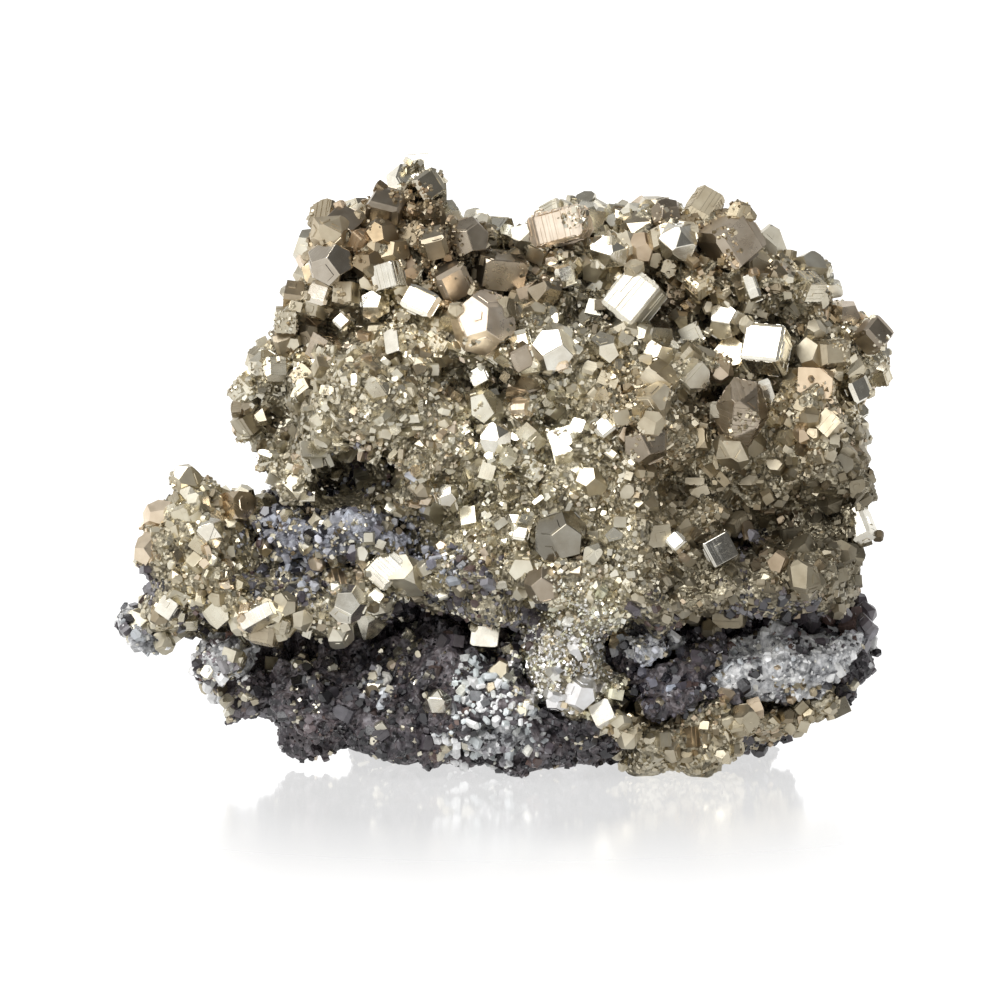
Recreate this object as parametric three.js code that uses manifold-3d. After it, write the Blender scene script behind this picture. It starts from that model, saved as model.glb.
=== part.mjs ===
// A pyrite specimen: a hand-sized lump of dark host rock with seams of grey-white quartz, whose
// front and top are crusted with a thick mass of pyrite set with larger single crystals.
//
// Frame: millimetres, +Z up, the front faces -Y, X runs to the right seen from the front.
// The origin is at the middle of the bounding box's underside, which is the surface it stands on.
//
// The rock, the pyrite mass and the quartz are blends of rough ellipsoid lumps, each blend skinned
// from its heart outwards.
// Each single crystal is a convex polyhedron bounded by its crystal faces and seated in the surface
// that the eye sees at its place. Where two solids meet, the softer or older one is cut back with
// a clearance of GAP.
import * as THREE from 'three';
import { ConvexGeometry } from 'three/addons/geometries/ConvexGeometry.js';
import { ImprovedNoise } from 'three/addons/math/ImprovedNoise.js';
import { mergeVertices } from 'three/addons/utils/BufferGeometryUtils.js';
import Module from 'manifold-3d';

const wasm = await Module();
wasm.setup();
const NOISE = new ImprovedNoise();

// ---------------------------------------------------------------- driving dimensions, mm
const GAP = 0.3;
// Places are given in front elevation, seen by an eye raised by this angle: `across` is X, `up` is
// the height at which the eye sees the point, and `depth` is Y. The eye sees the origin at TABLE_UP.
const EYE = THREE.MathUtils.degToRad(8);
const TABLE_UP = 1.2;
const SIGHT = new THREE.Vector3(0, Math.cos(EYE), -Math.sin(EYE));
const EYE_DISTANCE = 60;
// The skin of the masses: how far from its heart a mass may reach, how softly its lumps blend, and
// the height and breadth of its swells and of its finer unevenness.
const SKIN_REACH = 80;
const BLEND = 2.2;
const SWELL = { height: 1.8, breadth: 8.5 };
const UNEVENNESS = { height: 1, breadth: 4.3 };
const MARCH_SHARE = 0.6;
const MARCH_TOLERANCE = 0.02;
const MERGE_DISTANCE = 1e-4;

// ---------------------------------------------------------------- masses
// Each lump: across, depth, up, [rx, ry, rz], and turn, its lean to the right in degrees. The lumps
// of one skin blend; its first lump holds its heart. The first number sets how finely it is divided.
const PYRITE_SKINS = [
  skin(9, [
    lump(4, 4, 42, [33, 18, 22]), // core
    lump(-25.2, 3, 55, [4.4, 8, 7]), // left shoulder
    lump(-28, 2, 46.5, [6.2, 9, 8.2], -20), // left flank
    lump(-25, -4, 38, [6.5, 9, 5.5]), // left, below the flank
    lump(-15.5, -4, 45, [14.5, 13, 11]), // centre left swell
    lump(12, -8, 26.5, [27, 12.5, 8.6]), // lower lip
  ]),
  skin(4, [
    lump(-13.5, 5, 63, [11.5, 11, 9], 20), // summit, left
    lump(-11, 7, 71.5, [4.6, 5, 4.6]), // summit, its peak
  ]),
  skin(5, [
    lump(9, 8, 63.3, [11, 9, 7.6]), // saddle
    lump(-3.5, 7, 66, [5.5, 8, 5.6]), // saddle, its left end
    lump(22.5, 4, 63, [10, 10, 7.8]), // summit, right
  ]),
  skin(6, [
    lump(38.5, 2, 41, [6.2, 13, 13]), // right flank
    lump(34.5, 3, 57, [7, 10, 8.6]), // right shoulder
    lump(43, 4, 52.6, [5.2, 6, 5.2]), // right knob
    lump(36.6, -2, 27, [8.4, 13.5, 8.6]), // right lower flank
  ]),
  skin(5, [
    lump(-38, -1, 26.5, [8.8, 10, 8.8], 12), // left lobe
    lump(-37, 0, 31.5, [6.4, 8, 3.8]), // left lobe, its top
    lump(-43, -1, 21.5, [4.4, 6, 4]), // left lobe, its corner
    lump(-24, -8.5, 22, [15, 8.5, 4.4], -6), // ledge from the lobe to the lip
  ]),
  skin(4, [
    lump(7.5, -12, 16, [5.2, 5.5, 8.5], 8), // tongue below the lip
    lump(13, -10.5, 8, [5, 6, 4.6]), // its foot
  ]),
  skin(4, [
    lump(23.5, -5, 6, [13, 10, 5.4], -8), // crust under the right side
    lump(37.6, -3, 9.8, [4.6, 5.5, 3.8]), // its right end
  ]),
];

const ROCK_SKINS = [
  skin(8, [
    lump(2, -0.5, 9.8, [21, 16, 9]), // base, middle
    lump(-16.5, 1, 10.4, [17.5, 15.5, 8.2]), // base, left
    lump(20, 3, 12.4, [20, 16, 10]), // base, right
    lump(38, 1, 15.8, [9, 8, 3.8], 6), // right wing
    lump(45.6, 0, 16.6, [3.8, 3.5, 2], 12), // its point
    lump(-33, 2.5, 10.6, [7.6, 7.5, 4.2], 10), // left heel
    lump(22, 14, 8, [14, 10.5, 8.5]), // back foot, right
    lump(-8, 15, 8, [15, 9.5, 8.5]), // back foot, left
  ]),
  skin(5, [
    lump(2, 12, 34, [31, 12, 24]), // back slab
    lump(-26, 9, 24, [15, 11, 12.5]), // back, left
  ]),
];

const QUARTZ_SKINS = {
  quartz_seam_right: skin(3, [
    lump(30, -6, 13.4, [8.5, 6, 4.6]),
    lump(37, -5.5, 14.6, [7, 6, 4.2]),
    lump(43, -3.5, 16.2, [4.4, 4.5, 2.6], 10),
  ]),
  quartz_patch_upper_left: skin(3, [
    lump(-22, -4.5, 30.4, [8, 7, 5]),
    lump(-29, -2.5, 29.6, [7, 7, 4.4]),
    lump(-15.5, -7, 29.6, [5, 6.5, 4.4]),
  ]),
  quartz_patch_base: skin(2, [lump(-1.8, -10.6, 6, [5.6, 5.5, 3.8], -8)]),
  quartz_patch_left_rim: skin(2, [lump(-45, -0.5, 19, [3.4, 5, 3.8], -15)]),
  quartz_patch_left_heel: skin(2, [lump(-36, -3, 15.2, [4.4, 5.5, 2.6], -20)]),
  quartz_patch_centre: skin(2, [lump(17.4, -8.6, 17, [4.6, 5, 2.8])]),
};

// Open cavities: the deep vug at the left, its neighbour, and the hole low in the base.
const VUGS = [
  skin(3, [lump(-20.6, -13, 37, [3.2, 6.5, 3.2])]),
  skin(2, [lump(-15.6, -14, 36.8, [2.4, 5, 1.8])]),
  skin(2, [lump(15.4, -13, 9.2, [2.3, 7, 2.7])]),
];

// ---------------------------------------------------------------- crystals
// Central distances of the crystal forms; a smaller distance makes that form's faces larger. Every
// habit is then scaled to fit a sphere 1 across. `front` is the face that the crystal presents.
const FRONT_CUBE = [1, 0, 0];
const FRONT_PYRITOHEDRON = [2, 1, 0];
const HABITS = {
  cube: { cube: 0.5, octahedron: 0.8, front: FRONT_CUBE },
  striated: { cube: 0.5, pyritohedron: 0.63, front: FRONT_CUBE },
  bevelled: { cube: 0.5, pyritohedron: 0.59, octahedron: 0.76, front: FRONT_CUBE },
  pyritohedron: { cube: 0.55, pyritohedron: 0.5, front: FRONT_PYRITOHEDRON },
  blunt: { pyritohedron: 0.5, octahedron: 0.53, front: FRONT_PYRITOHEDRON },
};

// Facings of the presented face: [azimuth, elevation] in degrees, 0 azimuth straight to the front
// and positive to the right.
const LIT = [-16, 30];
const BRIGHT = [-26, 18];
const AWAY_RIGHT = [42, -4];
const AWAY_UP = [12, 62];
const AWAY_DOWN = [10, -28];

// Each crystal: name, across, up, size, habit, facing, roll in degrees, and options: `depth` where
// it stands on the skyline, `proud`, the share of it that stands out, and `stretch` of its axes.
const CRYSTALS = [
  crystal('summit_peak', -10.6, 73.6, 5.3, 'bevelled', [22, 14], 20, { depth: 4.5 }),
  crystal('summit_left_1', -15.4, 71, 6.5, 'bevelled', AWAY_UP, 10, { stretch: [0.7, 1.2, 1], depth: 2 }),
  crystal('summit_left_2', -20.8, 68.2, 6.3, 'cube', [-30, -22], 12, { depth: 0 }),
  crystal('summit_left_3', -22.4, 64, 6.5, 'pyritohedron', [30, 12], 24),
  crystal('summit_left_4', -23.4, 60, 4.4, 'bevelled', BRIGHT, 50),
  crystal('summit_mid_1', -10.3, 69.8, 5.1, 'cube', AWAY_RIGHT, 22),
  crystal('summit_mid_2', -9.6, 66.4, 5.1, 'bevelled', AWAY_DOWN, 40),
  crystal('summit_mid_3', -5.2, 67, 6, 'pyritohedron', [28, 8], 8),
  crystal('summit_mid_4', -1.2, 63.1, 7, 'cube', [14, -14], 4, { stretch: [1, 1.25, 0.9] }),
  crystal('summit_mid_5', -7.4, 61.6, 6.5, 'bevelled', [20, -8], 33),
  crystal('summit_block', -15.2, 62.2, 5.1, 'cube', [-24, 8], 6),
  crystal('bright_summit', -10.9, 58.6, 6, 'bevelled', LIT, 28, { proud: 0.7, stretch: [1, 0.85, 1.2] }),
  crystal('big_pentagon', -3.4, 56.4, 8.6, 'pyritohedron', BRIGHT, -18, { proud: 0.7 }),
  crystal('bright_left', -20.8, 56.5, 3, 'bevelled', LIT, 10),
  crystal('shelf_left_1', -16.8, 58.8, 4.4, 'pyritohedron', [-20, 22], 40),
  crystal('shelf_left_2', -14.2, 53.6, 3.9, 'cube', [-34, 32], 60, { stretch: [1, 1.4, 0.8] }),
  crystal('shelf_mid_1', 1.3, 52.2, 4.4, 'bevelled', [16, -6], 30),
  crystal('shelf_mid_2', -3.6, 49.6, 3.5, 'cube', BRIGHT, 4),
  crystal('saddle_block', 6.2, 68.6, 8.4, 'bevelled', [-20, 6], 8, { depth: 3, stretch: [0.9, 1.25, 0.75] }),
  crystal('saddle_lit', 12.1, 65.4, 5.2, 'blunt', LIT, 12, { proud: 0.7, stretch: [1, 0.9, 1.2] }),
  crystal('striated_centre', 15.4, 59.4, 9, 'striated', [-12, 19], 30,
    { proud: 0.75, stretch: [1, 1.12, 0.9] }),
  crystal('saddle_dull', 6.5, 62.4, 4.4, 'bevelled', [24, 4], 10),
  crystal('shield', 5.3, 53, 6.5, 'pyritohedron', LIT, 62, { proud: 0.7 }),
  crystal('summit_right_1', 20.9, 66.6, 5.6, 'blunt', BRIGHT, 5, { proud: 0.65 }),
  crystal('summit_right_2', 27.4, 66.8, 9, 'bevelled', [30, 4], 32, { proud: 0.7, depth: -2 }),
  crystal('summit_right_3', 19.5, 70, 4.4, 'pyritohedron', AWAY_UP, 20, { depth: 1 }),
  crystal('lit_right', 26.9, 56.8, 5.6, 'pyritohedron', LIT, 20, { proud: 0.8 }),
  crystal('striated_right', 31.8, 53.2, 8.1, 'striated', LIT, 48, { proud: 0.75 }),
  crystal('shoulder_sliver', 30.2, 61, 3.9, 'bevelled', [-14, 8], 12, { stretch: [1, 0.7, 1.4] }),
  crystal('knob_right', 45.2, 55, 5.3, 'bevelled', [36, 22], 26, { depth: -1 }),
  crystal('flank_right_1', 43, 48.2, 4.6, 'bevelled', [30, 10], 15),
  crystal('hooded', 28.6, 45.2, 7.7, 'blunt', [8, -8], 4, { proud: 0.65, stretch: [1, 0.9, 1.25] }),
  crystal('hooded_sliver', 32.2, 47.6, 4.4, 'cube', [-8, 10], 8, { stretch: [1, 0.6, 1.4] }),
  crystal('tawny_lump', 16.8, 41.8, 6.5, 'pyritohedron', [20, 10], 14),
  crystal('lit_centre_1', 11.8, 43.2, 3.7, 'bevelled', LIT, 6),
  crystal('lit_centre_2', 8.5, 43.4, 2.9, 'cube', LIT, 38),
  crystal('lit_centre_3', -2, 42, 4.9, 'blunt', LIT, 22),
  crystal('lit_centre_4', -7.9, 35.1, 3.5, 'pyritohedron', LIT, 52),
  crystal('lit_centre_5', 1.4, 30.1, 3, 'bevelled', LIT, 44),
  crystal('lit_centre_6', 20.6, 29.1, 3.2, 'bevelled', LIT, 8),
  crystal('smooth_grey', 6.2, 29.8, 7.4, 'pyritohedron', [14, -4], 30, { proud: 0.65 }),
  crystal('smooth_brown', 4.2, 24, 5.3, 'pyritohedron', [-6, -12], 50, { proud: 0.6 }),
  crystal('flat_grey_right', 25.7, 28.4, 5.8, 'striated', [10, 6], 22),
  crystal('pale_edge_right', 43.6, 31.4, 5.1, 'bevelled', BRIGHT, 2, { stretch: [1, 0.8, 1.3] }),
  crystal('lobe_hexagon', -37.3, 30.4, 4.3, 'blunt', [-14, 14], 18, { proud: 0.7 }),
  crystal('lobe_bar', -31, 19.9, 4.9, 'cube', BRIGHT, 4, { stretch: [0.9, 1.5, 0.6] }),
  crystal('lobe_cube', -42.4, 21, 3.9, 'cube', [-20, 14], 40),
  crystal('ledge_plate', -15.4, 25.8, 5.8, 'bevelled', [-8, 16], 30, { proud: 0.6, stretch: [0.8, 1.2, 1] }),
  crystal('ledge_khaki', -20.2, 21.6, 5.3, 'pyritohedron', [-2, 8], 50),
  crystal('base_round', -9.1, 9.2, 3.9, 'blunt', [-6, 6], 10, { proud: 0.6 }),
  crystal('base_cream', -2.6, 17.2, 5.2, 'cube', BRIGHT, -28, { proud: 0.7, stretch: [0.9, 1.2, 0.8] }),
  crystal('base_cube', 11.9, 7.9, 4.6, 'cube', BRIGHT, 4, { proud: 0.6 }),
];

// ---------------------------------------------------------------- places and lumps
function lump(across, depth, up, radii, turn = 0) {
  return { at: place(across, depth, up), radii, turn: THREE.MathUtils.degToRad(turn) };
}

function crystal(name, across, up, size, habit, facing, roll, options = {}) {
  return { name, across, up, size, habit, facing, roll, proud: 0.6, stretch: [1, 1, 1], ...options };
}

// The point at this depth that the raised eye sees at `across` and `up`.
function place(across, depth, up) {
  return new THREE.Vector3(across, depth, (up - TABLE_UP - depth * Math.sin(EYE)) / Math.cos(EYE));
}

// How far a point lies outside a lump, roughly; negative inside.
function beyondLump({ at, radii, turn }, point) {
  const local = point.clone().sub(at).applyAxisAngle(new THREE.Vector3(0, 1, 0), -turn);
  const scale = new THREE.Vector3(...radii);
  const nearness = local.divide(scale).length();
  const slope = local.divide(scale).length();
  return slope > 0 ? (nearness * (nearness - 1)) / slope : -Math.min(...radii);
}

// The same for lumps that blend and are rough.
function beyondLumps(lumps, point) {
  const nearest = lumps.map((each) => beyondLump(each, point)).reduce((a, b) => {
    const overlap = Math.max(BLEND - Math.abs(a - b), 0) / BLEND;
    return Math.min(a, b) - (overlap * overlap * BLEND) / 4;
  });
  return nearest + roughness(point);
}

// The skin of some lumps: a ball of points round the heart of the first, each drawn in from outside
// along its own ray until it meets them.
function skin(detail, lumps) {
  const ball = welded(new THREE.IcosahedronGeometry(1, detail));
  const points = ball.getAttribute('position');
  for (let i = 0; i < points.count; i++) {
    const outward = new THREE.Vector3().fromBufferAttribute(points, i).normalize();
    const point = new THREE.Vector3();
    let reach = SKIN_REACH;
    for (let beyond = 1; beyond > MARCH_TOLERANCE && reach > 1;) {
      point.copy(lumps[0].at).addScaledVector(outward, reach);
      beyond = beyondLumps(lumps, point);
      reach -= MARCH_SHARE * beyond;
    }
    points.setXYZ(i, ...point.toArray());
  }
  return ball;
}

function roughness(point) {
  return [SWELL, UNEVENNESS].reduce((sum, { height, breadth }) => {
    const { x, y, z } = point.clone().divideScalar(breadth);
    return sum + height * NOISE.noise(x + 0.37, y + 0.71, z + 0.19);
  }, 0);
}

// ---------------------------------------------------------------- solids
function toSolid(geometry) {
  const mesh = new wasm.Mesh({
    numProp: 3,
    vertProperties: new Float32Array(geometry.getAttribute('position').array),
    triVerts: new Uint32Array(geometry.index.array),
  });
  return new wasm.Manifold(mesh);
}

// Joins the seams of a geometry that has a separate corner for every face.
function welded(geometry) {
  geometry.deleteAttribute('normal');
  geometry.deleteAttribute('uv');
  return mergeVertices(geometry, MERGE_DISTANCE);
}

function toGeometry(solid) {
  const { vertProperties, triVerts } = solid.getMesh();
  const geometry = new THREE.BufferGeometry();
  geometry.setAttribute('position', new THREE.BufferAttribute(vertProperties, 3));
  geometry.setIndex(new THREE.BufferAttribute(triVerts, 1));
  geometry.computeVertexNormals();
  return geometry;
}

function joined(solids) {
  return solids.reduce((whole, solid) => whole.add(solid));
}

function cutBy(solid, cutters) {
  return cutters.reduce((rest, cutter) => rest.subtract(cutter), solid);
}

// The solid inside a skin that is moved outwards by GAP.
function grownSolid(skinGeometry) {
  const grown = skinGeometry.clone();
  grown.computeVertexNormals();
  const points = grown.getAttribute('position');
  const normals = grown.getAttribute('normal');
  for (let i = 0; i < points.count; i++) {
    const normal = new THREE.Vector3().fromBufferAttribute(normals, i);
    const point = new THREE.Vector3().fromBufferAttribute(points, i).addScaledVector(normal, GAP);
    points.setXYZ(i, ...point.toArray());
  }
  return toSolid(grown).add(toSolid(skinGeometry));
}

// A cut can leave chips; the specimen keeps the largest piece.
function largestPiece(solid) {
  return solid.decompose().reduce((a, b) => (a.volume() > b.volume() ? a : b));
}

// ---------------------------------------------------------------- crystal shapes
const SIGNS = [-1, 1];

// The unit normals of a crystal form's faces.
function formNormals(form) {
  const normals = [];
  for (const a of SIGNS) {
    for (const b of SIGNS) {
      if (form === 'octahedron') {
        for (const c of SIGNS) normals.push([a, b, c]);
      } else if (form === 'pyritohedron') {
        normals.push([2 * a, b, 0], [0, 2 * a, b], [b, 0, 2 * a]);
      }
    }
    if (form === 'cube') normals.push([a, 0, 0], [0, a, 0], [0, 0, a]);
  }
  return normals.map((n) => new THREE.Vector3(...n).normalize());
}

// The corners of a habit: every point where three faces meet and that no other face cuts off.
function habitCorners({ front, ...distances }) {
  const faces = Object.entries(distances).flatMap(([form, distance]) =>
    formNormals(form).map((normal) => new THREE.Plane(normal, -distance)));
  const corners = [];
  faces.forEach((a, i) => faces.slice(i + 1).forEach((b, j) => {
    for (const c of faces.slice(i + j + 2)) {
      const system = new THREE.Matrix3().set(
        ...a.normal.toArray(), ...b.normal.toArray(), ...c.normal.toArray());
      if (Math.abs(system.determinant()) < 1e-6) continue;
      const corner = new THREE.Vector3(-a.constant, -b.constant, -c.constant)
        .applyMatrix3(system.invert());
      const outside = faces.some((face) => face.distanceToPoint(corner) > 1e-6);
      const known = corners.some((other) => other.distanceTo(corner) < 1e-5);
      if (!outside && !known) corners.push(corner);
    }
  }));
  const reach = Math.max(...corners.map((corner) => corner.length()));
  return corners.map((corner) => corner.divideScalar(2 * reach));
}

function direction([azimuth, elevation]) {
  const a = THREE.MathUtils.degToRad(azimuth);
  const e = THREE.MathUtils.degToRad(elevation);
  return new THREE.Vector3(Math.sin(a) * Math.cos(e), -Math.cos(a) * Math.cos(e), Math.sin(e));
}

// Where the sight line through `across` and `up` first meets the specimen.
function surfaceAt(across, up) {
  const eye = place(across, -EYE_DISTANCE, up);
  return new THREE.Raycaster(eye, SIGHT).intersectObjects(SURFACES)[0].point;
}

function crystalPose({ across, up, size, habit, facing, roll, depth, proud }) {
  const seat = depth === undefined ? surfaceAt(across, up) : place(across, depth, up);
  const position = depth === undefined ? seat.addScaledVector(SIGHT, (0.5 - proud) * size) : seat;
  const outward = direction(facing);
  const front = new THREE.Vector3(...HABITS[habit].front).normalize();
  const turned = new THREE.Quaternion().setFromUnitVectors(front, outward);
  const rolled = new THREE.Quaternion().setFromAxisAngle(outward, THREE.MathUtils.degToRad(roll));
  return { position, quaternion: rolled.multiply(turned) };
}

// The crystal as a solid in the specimen's frame, grown on every side by `grow`.
function crystalSolid(crystalData, grow = 0) {
  const { size, stretch, habit } = crystalData;
  const axes = new THREE.Vector3(...stretch).multiplyScalar(size);
  const { position, quaternion } = crystalPose(crystalData);
  const frame = new THREE.Matrix4().compose(position, quaternion, axes.addScalar(2 * grow));
  const shape = welded(new ConvexGeometry(habitCorners(HABITS[habit])));
  return toSolid(shape.applyMatrix4(frame));
}

// ---------------------------------------------------------------- materials
const MATERIALS = {
  pyrite: new THREE.MeshStandardMaterial({ color: 0xb5a67c, metalness: 1, roughness: 0.28 }),
  crust: new THREE.MeshStandardMaterial({ color: 0x94875f, metalness: 0.9, roughness: 0.5 }),
  quartz: new THREE.MeshStandardMaterial({ color: 0xb4b6b8, metalness: 0, roughness: 0.35 }),
  rock: new THREE.MeshStandardMaterial({ color: 0x3b3537, metalness: 0, roughness: 0.7 }),
};

// ---------------------------------------------------------------- the specimen
const SURFACES = [...PYRITE_SKINS, ...ROCK_SKINS, ...Object.values(QUARTZ_SKINS)]
  .map((each) => new THREE.Mesh(each));
const specimen = new THREE.Group();

function addMesh(name, solid, material) {
  const mesh = new THREE.Mesh(toGeometry(largestPiece(solid)), material);
  mesh.name = name;
  specimen.add(mesh);
}

// A crystal's mesh keeps its own axes and is placed by its position and rotation.
function addCrystal(crystalData, solid) {
  const { position, quaternion } = crystalPose(crystalData);
  const geometry = toGeometry(largestPiece(solid));
  const frame = new THREE.Matrix4().compose(position, quaternion, new THREE.Vector3(1, 1, 1));
  geometry.applyMatrix4(frame.invert());
  const mesh = new THREE.Mesh(geometry, MATERIALS.pyrite);
  mesh.name = `crystal_${crystalData.name}`;
  mesh.position.copy(position);
  mesh.quaternion.copy(quaternion);
  specimen.add(mesh);
}

const sockets = [];
for (const crystalData of CRYSTALS) {
  addCrystal(crystalData, cutBy(crystalSolid(crystalData), sockets));
  sockets.push(crystalSolid(crystalData, GAP));
}

const TABLE_SIDE = 300;
const table = welded(new THREE.BoxGeometry(TABLE_SIDE, TABLE_SIDE, TABLE_SIDE));
table.translate(0, 0, -TABLE_SIDE / 2);
const cutaways = [...sockets, ...VUGS.map(toSolid), toSolid(table)];

// Adds what the cutaways leave of skins that have grown into one, and cuts whatever comes later.
function addGrowth(name, skins, material) {
  addMesh(name, cutBy(joined(skins.map(toSolid)), cutaways), material);
  cutaways.push(joined(skins.map(grownSolid)));
}

addGrowth('pyrite_mass', PYRITE_SKINS, MATERIALS.crust);
for (const [name, vein] of Object.entries(QUARTZ_SKINS)) addGrowth(name, [vein], MATERIALS.quartz);
addGrowth('host_rock', ROCK_SKINS, MATERIALS.rock);

const centre = new THREE.Box3().setFromObject(specimen, true).getCenter(new THREE.Vector3());
specimen.position.set(-centre.x, -centre.y, 0);

export default specimen;
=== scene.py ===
"""Looks of the pyrite specimen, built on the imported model.

The pyrite mass, the host rock and the quartz are remeshed copies of their CAD solids, roughened and
then overgrown with small crystals. Every single crystal is rebuilt from its CAD solid with growth
terraces, striations, worn edges and small intergrown neighbours. Metres throughout.
"""

import itertools
import math

import bmesh
import bpy
import numpy as np
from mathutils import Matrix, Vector, kdtree, noise
from mathutils.bvhtree import BVHTree
from numpy.linalg import norm


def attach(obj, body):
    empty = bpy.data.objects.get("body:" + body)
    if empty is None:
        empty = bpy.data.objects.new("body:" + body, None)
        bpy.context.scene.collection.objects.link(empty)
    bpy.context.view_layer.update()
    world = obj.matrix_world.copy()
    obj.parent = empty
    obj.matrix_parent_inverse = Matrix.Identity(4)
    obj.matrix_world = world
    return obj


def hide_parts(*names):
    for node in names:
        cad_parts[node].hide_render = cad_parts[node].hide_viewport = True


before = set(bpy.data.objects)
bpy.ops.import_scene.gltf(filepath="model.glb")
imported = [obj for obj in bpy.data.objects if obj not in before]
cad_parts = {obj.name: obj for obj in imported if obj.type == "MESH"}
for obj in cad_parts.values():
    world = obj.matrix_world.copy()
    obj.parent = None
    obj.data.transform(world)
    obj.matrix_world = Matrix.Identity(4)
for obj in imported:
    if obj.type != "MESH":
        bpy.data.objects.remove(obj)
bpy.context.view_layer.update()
scene = bpy.context.scene

MM = 0.001
EYE = math.radians(8)  # how far down the camera looks
TABLE_UP = 1.2  # mm from the zero of "up" to the table
SHIFT_Y = 0.55  # mm that the CAD moved the specimen towards the front to centre it
# How far back the tints and hollows of the front, its spots, and its zones reach.
TINTED_TO, SPOTTED_TO, ZONED_TO = 3 * MM, 2 * MM, 4 * MM


def across_up(points):
    """Metres in the row frame to (across, up) in mm, as the camera sees them."""
    p = np.asarray(points) / MM
    up = p[..., 2] * math.cos(EYE) + (p[..., 1] + SHIFT_Y) * math.sin(EYE) + TABLE_UP
    return np.stack([p[..., 0], up], axis=-1)


def noise_at(points):
    """Soft noise, about -0.5 to 0.5, at each point."""
    return np.array([noise.noise(Vector(p)) for p in points])


def reaches_to(points, places):
    """How far each point is from each place (across, up, reach in mm, ...), in reaches."""
    places = np.array([place[:3] for place in places], float)
    apart = across_up(points)[:, None] - places[None, :, :2]
    return norm(apart, axis=2) / places[None, :, 2]


# ---- crystal shapes
CUBE = [(1, 0, 0), (0, 1, 0), (0, 0, 1)]
PYRITOHEDRON = [(2, 1, 0), (2, -1, 0), (0, 2, 1), (0, 2, -1), (1, 0, 2), (-1, 0, 2)]
OCTAHEDRON = [(1, 1, 1), (1, 1, -1), (1, -1, 1), (-1, 1, 1)]
PRISM = [(math.cos(a), math.sin(a), 0) for a in (0, math.pi / 3, 2 * math.pi / 3)]
POINT = [(0.5, 0.3, 0.8), (-0.4, 0.5, 0.8), (-0.1, -0.6, 0.8)]

LEAST_DETERMINANT = 1e-5  # of three planes that meet in a corner
CORNER_SLACK = 1e-6
PLANE_SLACK = 3e-5

# Growth marks on a face. Widths and heights are shares of the crystal's diameter.
PLAIN_BELOW = 0.12  # smaller faces have none
STRIPE_WIDTHS = (0.02, 0.085)
STRIPE_HEIGHTS = (0.004, 0.016)
PROUD_STRIPES = 0.62  # share of the stripes that stand proud
SHORT_STRIPES = 0.45  # share of those that stop before the edge
SHORT_LENGTHS = (0.35, 0.9)
TERRACE_BREADTHS = (0.3, 0.75)  # shares of the face
TERRACE_HEIGHTS = (0.008, 0.03)
TERRACE_OFFSETS = (0.1, 0.7)
TERRACE_TAPER = 0.06


def planes_of(forms, jitter, rng):
    """[(normals of a form, distance)] to unit normals and distances, unevenly grown."""
    normals, distances = [], []
    for form, distance in forms:
        for n in form:
            for sign in (1, -1):
                normals.append(sign * np.array(n, float) / norm(n))
                distances.append(distance * rng.uniform(1 - jitter, 1 + jitter))
    return np.array(normals), np.array(distances)


def polyhedron(normals, distances):
    """The corners of the solid between the planes, and its faces as lists of corner indices."""
    trio = np.array(list(itertools.combinations(range(len(normals)), 3)))
    a, b = normals[trio], distances[trio]
    solvable = np.abs(np.linalg.det(a)) > LEAST_DETERMINANT
    corners = np.linalg.solve(a[solvable], b[solvable][..., None])[..., 0]
    corners = corners[(corners @ normals.T <= distances + CORNER_SLACK).all(axis=1)]
    corners = np.unique(np.round(corners, 5), axis=0)
    faces = []
    for n, d in zip(normals, distances):
        on = np.nonzero(np.abs(corners @ n - d) < PLANE_SLACK)[0]
        if len(on) > 2:
            faces.append(ordered(corners, on, n))
    return corners, faces


def ordered(corners, indices, normal):
    """The indices anticlockwise round the normal."""
    side = np.cross(normal, [0.3, 0.5, 0.8])
    side /= norm(side)
    rise = np.cross(normal, side)
    spread = corners[indices] - corners[indices].mean(axis=0)
    return list(indices[np.argsort(np.arctan2(spread @ rise, spread @ side))])


def face_normal(polygon):
    """Newell's normal of a polygon given as points."""
    following = np.roll(polygon, -1, axis=0)
    n = np.cross(polygon, following).sum(axis=0)
    length = norm(n)
    return n / length if length > 1e-12 else np.array([0.0, 0.0, 1.0])


def clipped(polygon, n, d):
    """The part of a polygon where point . n <= d."""
    kept = []
    heights = polygon @ n - d
    for i, (p, h) in enumerate(zip(polygon, heights)):
        q, k = polygon[i - 1], heights[i - 1]
        if (h <= 0) != (k <= 0):
            kept.append(q + (p - q) * (k / (k - h)))
        if h <= 0:
            kept.append(p)
    return np.array(kept)


class Soup:
    """Loose polygons, each with a tint (RGB and, in alpha, how rough it is) and a grain."""

    def __init__(self):
        self.points, self.sizes, self.tints, self.grain = [], [], [], []

    def add(self, polygon, tint, along=None):
        """One polygon. Its grain runs along the direction given."""
        n = face_normal(polygon)
        if along is None or abs(np.dot(n, along)) > 0.97:
            along = np.array([0.2, 0.9, 0.4])
        u = along - n * np.dot(n, along)
        u /= norm(u)
        self.points.append(polygon)
        self.sizes.append(len(polygon))
        self.tints.append(tint)
        self.grain.append(np.stack([polygon @ u, polygon @ np.cross(n, u)], axis=1))

    def plate(self, polygon, height, tint, along=None, taper=0.0):
        """The polygon raised by height, with walls round it."""
        n = face_normal(polygon)
        top = polygon + n * height
        if taper:
            top = top + (polygon.mean(axis=0) - polygon) * taper
        self.add(top, tint, along)
        for i in range(len(polygon)):
            wall = np.array([polygon[i - 1], polygon[i], top[i], top[i - 1]])
            self.add(wall, tint, along)

    def arrays(self):
        """Points, corners per polygon, tints and grain."""
        return (
            np.concatenate(self.points),
            np.array(self.sizes),
            np.array(self.tints, float),
            np.concatenate(self.grain),
        )


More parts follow.
